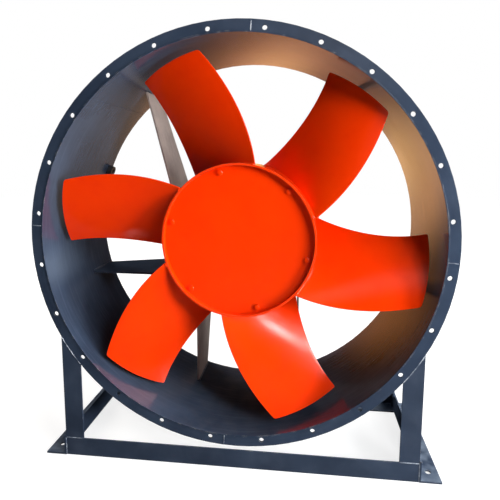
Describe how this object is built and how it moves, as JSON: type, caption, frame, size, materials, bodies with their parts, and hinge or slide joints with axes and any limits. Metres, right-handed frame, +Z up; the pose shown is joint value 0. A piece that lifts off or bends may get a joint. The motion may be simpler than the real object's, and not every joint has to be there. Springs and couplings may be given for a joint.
{
  "type": "axial fan",
  "caption": "Large axial fan: a short round flanged casing on an angle-iron base, with a twisted-blade impeller on the shaft of a motor carried by plates behind it.",
  "frame": {"origin": "on the floor, under the middle of the fan's overall box", "axes": "+Z up; +Y along the fan's axis, from the inlet to the motor's tail; +X to the right seen from the inlet"},
  "size_m": [1.059, 0.57, 1.1205],
  "materials": {
    "slate_paint": "satin blue-grey paint on steel plate and angle",
    "orange_paint": "semi-gloss red-orange paint on steel sheet",
    "motor_paint": "satin blue paint on cast iron",
    "zinc": "zinc-plated steel",
    "steel": "ground steel",
    "lamination": "stacked electrical steel",
    "copper": "varnished copper wire",
    "black_plastic": "black moulded plastic"
  },
  "bodies": {
    "casing": {"casing_shell": "slate_paint", "front_flange": "slate_paint", "rear_flange": "slate_paint", "motor_table": "slate_paint", "table_leg_left": "slate_paint", "table_leg_right": "slate_paint", "motor_stay_left": "slate_paint", "motor_stay_right": "slate_paint", "front_rail": "slate_paint", "rear_rail": "slate_paint", "side_rail_left": "slate_paint", "side_rail_right": "slate_paint", "upright_front_left": "slate_paint", "upright_front_right": "slate_paint", "upright_rear_left": "slate_paint", "upright_rear_right": "slate_paint", "motor_housing": "motor_paint", "drive_end_shield": "motor_paint", "rear_end_shield": "motor_paint", "fan_cowl": "motor_paint", "terminal_box": "motor_paint", "terminal_lid": "motor_paint", "cable_gland": "black_plastic", "terminal_gland": "black_plastic", "drive_end_bearing": "steel", "rear_end_bearing": "steel", "stator_core": "lamination", "stator_winding": "copper", "packing_bar_left": "zinc", "packing_bar_right": "zinc", "foot_bolt_1": "zinc", "foot_bolt_2": "zinc", "foot_bolt_3": "zinc", "foot_bolt_4": "zinc", "foot_nut_1": "zinc", "foot_nut_2": "zinc", "foot_nut_3": "zinc", "foot_nut_4": "zinc"},
    "impeller": {"motor_shaft": "steel", "rotor_core": "lamination", "shaft_key": "steel", "hub_boss": "steel", "hub_plate": "orange_paint", "hub_drum": "orange_paint", "hub_cover": "orange_paint", "end_washer": "zinc", "end_bolt": "zinc", "cooling_fan": "black_plastic", "cover_bolt_1": "orange_paint", "cover_bolt_2": "orange_paint", "cover_bolt_3": "orange_paint", "cover_bolt_4": "orange_paint", "cover_bolt_5": "orange_paint", "cover_bolt_6": "orange_paint", "blade_1": "orange_paint", "blade_2": "orange_paint", "blade_3": "orange_paint", "blade_4": "orange_paint", "blade_5": "orange_paint", "blade_6": "orange_paint"}
  },
  "joints": [
    {"name": "impeller_spin", "type": "hinge", "parent": "casing", "child": "impeller", "pos_m": [0, 0, 0.591], "axis": [0, 1, 0], "continuous": true}
  ]
}
